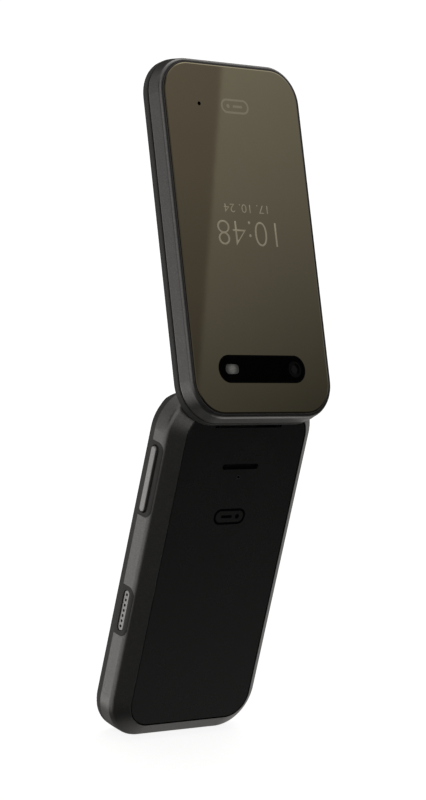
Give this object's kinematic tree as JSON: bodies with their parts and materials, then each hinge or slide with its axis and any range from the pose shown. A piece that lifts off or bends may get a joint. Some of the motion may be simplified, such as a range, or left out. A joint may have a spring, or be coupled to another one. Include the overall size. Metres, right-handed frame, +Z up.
{
  "type": "flip phone",
  "caption": "Clamshell mobile phone, lid open, with keypad base, hinged lid with mirror cover glass and outer display, camera window, volume rocker and sprung keys.",
  "frame": {"origin": "middle of the open phone's footprint box, at the lower end of the base", "axes": "+Z up the base towards the hinge, +Y out of the phone's back, -Y out of the keypad face, +X towards the side with the volume rocker"},
  "size_m": [0.0557, 0.0559, 0.1967],
  "materials": {
    "satin_grey": "satin",
    "satin_light": "satin",
    "housing_grey": "fine matte",
    "gloss_black": "polished",
    "mirror_bronze": "half-mirror coating on glass",
    "key_black": "silky",
    "key_satin": "satin",
    "film_amber": "smooth film",
    "board_green": "solder mask",
    "battery_label": "printed wrap",
    "contact_block": "moulded",
    "module_black": "moulded",
    "steel": "bright",
    "flash_clear": "frosted lens",
    "lens_trim": "dark anodised",
    "display_black": "panel",
    "display_glass": "polished",
    "magnesium": "die cast",
    "rubber_dark": "soft"
  },
  "bodies": {
    "base": {"front_housing": "housing_grey", "rear_shell": "satin_grey", "back_panel": "gloss_black", "dome_sheet": "film_amber", "main_board": "board_green", "battery": "battery_label", "battery_contacts": "contact_block", "loudspeaker": "module_black", "card_socket": "steel", "microphone": "steel", "vibration_motor": "steel", "usb_socket": "steel", "audio_jack": "module_black", "base_screws": "steel", "side_grille": "satin_light", "hinge_cartridge": "steel", "hinge_pin": "steel"},
    "lid": {"lid_bezel": "housing_grey", "lid_frame": "satin_grey", "cover_glass": "mirror_bronze", "camera_window": "gloss_black", "flash_lens": "flash_clear", "lens_surround": "lens_trim", "camera_module": "module_black", "outer_display": "display_black", "inner_glass": "display_glass", "inner_display": "display_black", "lid_chassis": "magnesium", "earpiece_grille": "steel", "receiver": "steel", "lid_bumpers": "rubber_dark", "screw_caps": "rubber_dark", "lid_screws": "steel", "hinge_shaft": "steel"},
    "key_0": {"key_0": "key_black"},
    "key_1": {"key_1": "key_black"},
    "key_2": {"key_2": "key_black"},
    "key_3": {"key_3": "key_black"},
    "key_4": {"key_4": "key_black"},
    "key_5": {"key_5": "key_black"},
    "key_6": {"key_6": "key_black"},
    "key_7": {"key_7": "key_black"},
    "key_8": {"key_8": "key_black"},
    "key_9": {"key_9": "key_black"},
    "key_star": {"key_star": "key_black"},
    "key_hash": {"key_hash": "key_black"},
    "key_call": {"key_call": "key_black"},
    "key_end": {"key_end": "key_black"},
    "key_soft_left": {"key_soft_left": "key_black"},
    "key_soft_right": {"key_soft_right": "key_black"},
    "nav_ring": {"nav_ring": "key_satin"},
    "key_ok": {"key_ok": "key_black"},
    "volume_rocker": {"volume_rocker": "satin_light"}
  },
  "joints": [
    {"name": "lid_hinge", "type": "hinge", "parent": "base", "child": "lid", "pos_m": [0, 0.01497, 0.1023], "axis": [1, 0, 0], "range_deg": [0, 152]},
    {"name": "key_0_press", "type": "slide", "parent": "base", "child": "key_0", "axis": [0, 1, 0], "range_m": [0, 0.0004], "stiffness_N_per_m": 2500},
    {"name": "key_1_press", "type": "slide", "parent": "base", "child": "key_1", "axis": [0, 1, 0], "range_m": [0, 0.0004], "stiffness_N_per_m": 2500},
    {"name": "key_2_press", "type": "slide", "parent": "base", "child": "key_2", "axis": [0, 1, 0], "range_m": [0, 0.0004], "stiffness_N_per_m": 2500},
    {"name": "key_3_press", "type": "slide", "parent": "base", "child": "key_3", "axis": [0, 1, 0], "range_m": [0, 0.0004], "stiffness_N_per_m": 2500},
    {"name": "key_4_press", "type": "slide", "parent": "base", "child": "key_4", "axis": [0, 1, 0], "range_m": [0, 0.0004], "stiffness_N_per_m": 2500},
    {"name": "key_5_press", "type": "slide", "parent": "base", "child": "key_5", "axis": [0, 1, 0], "range_m": [0, 0.0004], "stiffness_N_per_m": 2500},
    {"name": "key_6_press", "type": "slide", "parent": "base", "child": "key_6", "axis": [0, 1, 0], "range_m": [0, 0.0004], "stiffness_N_per_m": 2500},
    {"name": "key_7_press", "type": "slide", "parent": "base", "child": "key_7", "axis": [0, 1, 0], "range_m": [0, 0.0004], "stiffness_N_per_m": 2500},
    {"name": "key_8_press", "type": "slide", "parent": "base", "child": "key_8", "axis": [0, 1, 0], "range_m": [0, 0.0004], "stiffness_N_per_m": 2500},
    {"name": "key_9_press", "type": "slide", "parent": "base", "child": "key_9", "axis": [0, 1, 0], "range_m": [0, 0.0004], "stiffness_N_per_m": 2500},
    {"name": "key_star_press", "type": "slide", "parent": "base", "child": "key_star", "axis": [0, 1, 0], "range_m": [0, 0.0004], "stiffness_N_per_m": 2500},
    {"name": "key_hash_press", "type": "slide", "parent": "base", "child": "key_hash", "axis": [0, 1, 0], "range_m": [0, 0.0004], "stiffness_N_per_m": 2500},
    {"name": "key_call_press", "type": "slide", "parent": "base", "child": "key_call", "axis": [0, 1, 0], "range_m": [0, 0.0004], "stiffness_N_per_m": 2500},
    {"name": "key_end_press", "type": "slide", "parent": "base", "child": "key_end", "axis": [0, 1, 0], "range_m": [0, 0.0004], "stiffness_N_per_m": 2500},
    {"name": "key_soft_left_press", "type": "slide", "parent": "base", "child": "key_soft_left", "axis": [0, 1, 0], "range_m": [0, 0.0004], "stiffness_N_per_m": 2500},
    {"name": "key_soft_right_press", "type": "slide", "parent": "base", "child": "key_soft_right", "axis": [0, 1, 0], "range_m": [0, 0.0004], "stiffness_N_per_m": 2500},
    {"name": "nav_ring_press", "type": "slide", "parent": "base", "child": "nav_ring", "axis": [0, 1, 0], "range_m": [0, 0.0004], "stiffness_N_per_m": 2500},
    {"name": "key_ok_press", "type": "slide", "parent": "base", "child": "key_ok", "axis": [0, 1, 0], "range_m": [0, 0.0004], "stiffness_N_per_m": 2500},
    {"name": "volume_rocker_tilt", "type": "hinge", "parent": "base", "child": "volume_rocker", "pos_m": [0.0251, 0.01429, 0.0805], "axis": [0, 1, 0], "range_deg": [-1, 1], "stiffness_Nm_per_rad": 0.5}
  ]
}
